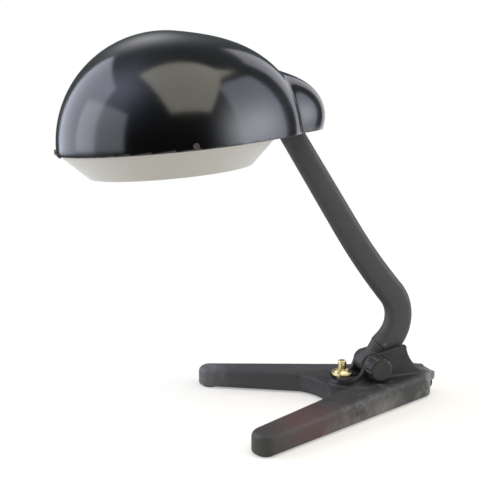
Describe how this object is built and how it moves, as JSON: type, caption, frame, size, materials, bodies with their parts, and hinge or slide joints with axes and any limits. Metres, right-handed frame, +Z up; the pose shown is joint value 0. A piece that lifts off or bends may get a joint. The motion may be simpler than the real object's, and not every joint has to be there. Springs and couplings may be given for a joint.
{
  "type": "dome shade desk lamp",
  "caption": "Desk lamp with a black dome shade and a light anti-glare ring, on a bent oval arm that tilts on a V-shaped cast foot with a clamp knob and a push switch.",
  "frame": {"origin": "on the floor, at the middle of the pad under the point of the V foot", "axes": "-X towards the toes and the front of the shade, +Y to the far leg, +Z up"},
  "size_m": [0.3885, 0.212, 0.3747],
  "materials": {
    "foot_paint": "satin dark grey stove enamel on cast iron",
    "arm_paint": "satin dark grey stove enamel on steel",
    "shade_enamel": "gloss black enamel outside, white inside",
    "ring_aluminium": "satin",
    "brass": "satin, slightly tarnished",
    "steel": "plain",
    "zinc_sheet": "dull zinc",
    "rubber": "matte",
    "bakelite": "polished",
    "fibre": "pressed red-brown fibre",
    "lead_cover": "smooth",
    "bulb_glass": "opal white",
    "bulb_cap_metal": "bright"
  },
  "bodies": {
    "base": {"base_casting": "foot_paint", "bottom_cover": "zinc_sheet", "cover_screws": "steel", "toe_pads": "rubber", "heel_pad": "rubber", "cord_bush": "bakelite", "pivot_bolt": "steel", "knob_washer": "steel", "switch_body": "bakelite", "switch_bezel": "brass", "switch_spring": "steel"},
    "button": {"switch_button": "brass"},
    "knob": {"clamp_knob": "bakelite", "knob_insert": "brass"},
    "arm": {"arm_foot": "arm_paint", "arm_tube": "arm_paint", "arm_head": "arm_paint", "arm_pins": "steel", "arm_lead": "lead_cover", "pivot_washers": "fibre"},
    "shade": {"shade_shell": "shade_enamel", "glare_ring": "ring_aluminium", "ring_screws": "steel", "neck_bracket": "steel", "neck_bolt": "steel", "neck_nut": "steel", "neck_washers": "fibre", "holder_nipple": "brass", "lamp_holder": "bakelite", "thread_sleeve": "brass", "holder_contact": "brass", "bulb_glass": "bulb_glass", "bulb_cap": "bulb_cap_metal", "bulb_contact": "bulb_cap_metal"}
  },
  "joints": [
    {"name": "arm_tilt", "type": "hinge", "parent": "base", "child": "arm", "pos_m": [-0.052, 0, 0.041], "axis": [0, 1, 0], "range_deg": [-25, 20]},
    {"name": "knob_turn", "type": "hinge", "parent": "base", "child": "knob", "pos_m": [-0.052, 0, 0.041], "axis": [0, -1, 0], "range_deg": [-20, 340]},
    {"name": "switch_press", "type": "slide", "parent": "base", "child": "button", "axis": [0, 0, -1], "range_m": [0, 0.003], "stiffness_N_per_m": 400, "springref_m": -0.003, "deforming": ["switch_spring"]},
    {"name": "shade_tilt", "type": "hinge", "parent": "arm", "child": "shade", "pos_m": [-0.16465, 0, 0.31598], "axis": [0, 1, 0], "range_deg": [-20, 12]}
  ]
}
